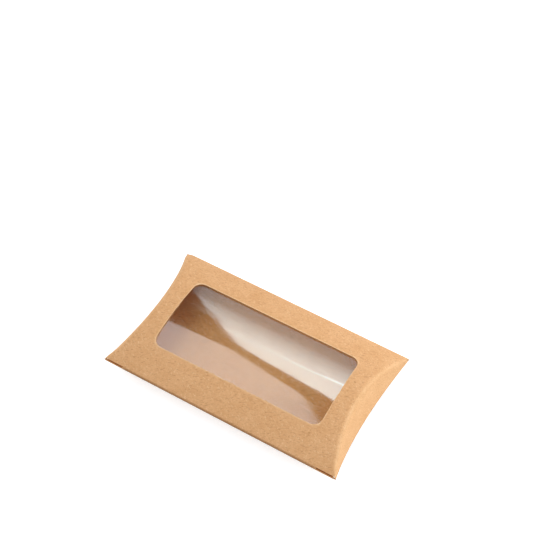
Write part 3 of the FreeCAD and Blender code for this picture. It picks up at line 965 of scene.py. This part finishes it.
# %% World
BRIGHT_WAY = (-0.93, -0.368, 0.0)
world = bpy.data.worlds.new("studio")
bpy.context.scene.world = world
world.use_nodes = True
tree = world.node_tree
tree.nodes.clear()
ray = add(tree, "ShaderNodeLightPath")
way = add(tree, "ShaderNodeTexCoord").outputs["Generated"]
towards = add(tree, "ShaderNodeVectorMath", {0: way, 1: BRIGHT_WAY}, operation="DOT_PRODUCT")
room = add(tree, "ShaderNodeMapRange", {"Value": towards.outputs["Value"], 1: -1, 2: 1, 3: 0.19, 4: 1.42})
upward = add(tree, "ShaderNodeSeparateXYZ", {0: way}).outputs["Z"]
walls = add(tree, "ShaderNodeMapRange", {"Value": upward, 1: 0.2, 2: 0.4, 3: 0.7, 4: 0.05})
strength = add(tree, "ShaderNodeMix", {
    0: ray.outputs["Is Glossy Ray"], 2: room.outputs[0], 3: walls.outputs[0],
})
strength = add(tree, "ShaderNodeMix", {0: ray.outputs["Is Camera Ray"], 2: strength.outputs[0], 3: 1.0})
sky = add(tree, "ShaderNodeBackground", {"Color": (1, 1, 1, 1), "Strength": strength.outputs[0]})
add(tree, "ShaderNodeOutputWorld", {"Surface": sky.outputs[0]})
print("world", len(tree.nodes), "nodes")

# %% Lamps
# Name, place and aim in metres, size, watts and colour.
LAMPS = (
    ("key_lamp", (-0.30, 0.42, 0.86), (0, 0, 0), 0.5, 1.5, "#ffffff"),
    ("back_lamp", (0.42, 0.30, 0.16), (0.03, 0, 0.01), 0.3, 2.1, "#ffffff"),
    ("side_lamp", (0.90, 0.0, 0.14), (0.06, 0, 0.01), 0.3, 1.5, "#d8f2ff"),
)
for name, place, aim, size, power, colour in LAMPS:
    lamp = bpy.data.objects.new(name, bpy.data.lights.new(name, "AREA"))
    lamp.data.shape, lamp.data.size, lamp.data.energy = "DISK", size, power
    lamp.data.color = linear(colour)[:3]
    lamp.location = place
    lamp.rotation_mode = "QUATERNION"
    lamp.rotation_quaternion = (Vector(aim) - Vector(place)).to_track_quat("-Z", "Y")
    lamp.visible_glossy = False
    bpy.context.collection.objects.link(lamp)
print(len(LAMPS), "lamps,", sum(power for *_, power, colour in LAMPS), "W")

# %% [markdown]
# ### Cards for the film to reflect
# A clear film shows by what it reflects. White cards hang above the box, as in a photo studio: one over
# the near side, one further back, with a gap between them where the film looks clear, and a bright
# strip just under the back one. The cards are only there for reflections. They light nothing and hide
# nothing. Their outlines, in millimetres, follow the edges of the reflections in the photo.

# %% Reflection cards
CARD_HEIGHT, STRIP_DROP = 800, 2


def card(name, outline, strengths, colour, fade=(500, 1000), drop=0):
    """A glowing card. Its two strengths are those at the two fade distances back from the box."""
    mesh = bpy.data.meshes.new(name)
    spots = [(x * MM, y * MM, (CARD_HEIGHT - drop) * MM) for x, y in outline]
    mesh.from_pydata(spots, [], [tuple(range(len(spots)))])
    piece = bpy.data.objects.new(name, mesh)
    bpy.context.collection.objects.link(piece)
    paper, tree = new_material(name + "_light")
    spot = add(tree, "ShaderNodeSeparateXYZ", {0: add(tree, "ShaderNodeTexCoord").outputs["Object"]})
    level = add(tree, "ShaderNodeMapRange", {
        "Value": spot.outputs["Y"], 1: fade[0] * MM, 2: fade[1] * MM, 3: strengths[0], 4: strengths[1],
    })
    glow = add(tree, "ShaderNodeEmission", {"Color": linear(colour), "Strength": level.outputs[0]})
    add(tree, "ShaderNodeOutputMaterial", {"Surface": glow.outputs[0]})
    mesh.materials.append(paper)
    piece.visible_camera = piece.visible_diffuse = False
    piece.visible_transmission = piece.visible_shadow = False
    print(name, len(spots), "corners")


card("near_card", (
    (-430, -300), (-60, -300), (-132, 10), (-152, 125), (-170, 175), (-265, 270), (-430, 205),
), (2.7, 2.7), "#f0f6fa")
card("back_card", (
    (-700, 1700), (-500, 1010), (-275, 372), (-240, 335), (-160, 295), (-60, 200), (-60, 1700),
), (5.9, 1.6), "#e6fafd")
card("bright_strip", (
    (-322, 510), (-318, 480), (-285, 458), (-250, 482), (-200, 490), (-156, 526), (-100, 556),
    (-100, 584), (-156, 552), (-200, 516), (-250, 508), (-285, 484),
), (5.7, 11.0), "#e8fbff", fade=(475, 545), drop=STRIP_DROP)

# %% [markdown]
# ## Floor
# The box lies on a sheet of white studio paper. Stronger lamps would whiten it, but would also wash out
# the kraft. So the paper glows a little to the camera and to reflections: it looks white without more
# light on the box, and it still takes the box's shadow.

# %% Floor
FLOOR_HALF, FLOOR_DROP = 4, 0.0001
corners = ((-1, -1), (1, -1), (1, 1), (-1, 1))
floor_mesh = bpy.data.meshes.new("floor")
floor_mesh.from_pydata(
    [(x * FLOOR_HALF, y * FLOOR_HALF, -FLOOR_DROP) for x, y in corners], [], [(0, 1, 2, 3)]
)
floor = bpy.data.objects.new("floor", floor_mesh)
bpy.context.collection.objects.link(floor)
paper, tree = new_material("studio_paper")
ray = add(tree, "ShaderNodeLightPath")
seen = add(tree, "ShaderNodeMath", {
    0: ray.outputs["Is Camera Ray"], 1: ray.outputs["Is Glossy Ray"],
}, operation="MAXIMUM")
lit = add(tree, "ShaderNodeBsdfDiffuse", {"Color": linear("#e9f0f7")})
glow = add(tree, "ShaderNodeEmission", {"Color": (1, 1, 1, 1), "Strength": 0.52})
both = add(tree, "ShaderNodeAddShader", {0: lit.outputs[0], 1: glow.outputs[0]})
shown = add(tree, "ShaderNodeMixShader", {0: seen.outputs[0], 1: lit.outputs[0], 2: both.outputs[0]})
add(tree, "ShaderNodeOutputMaterial", {"Surface": shown.outputs[0]})
floor_mesh.materials.append(paper)
print("floor", 2 * FLOOR_HALF, "m wide")
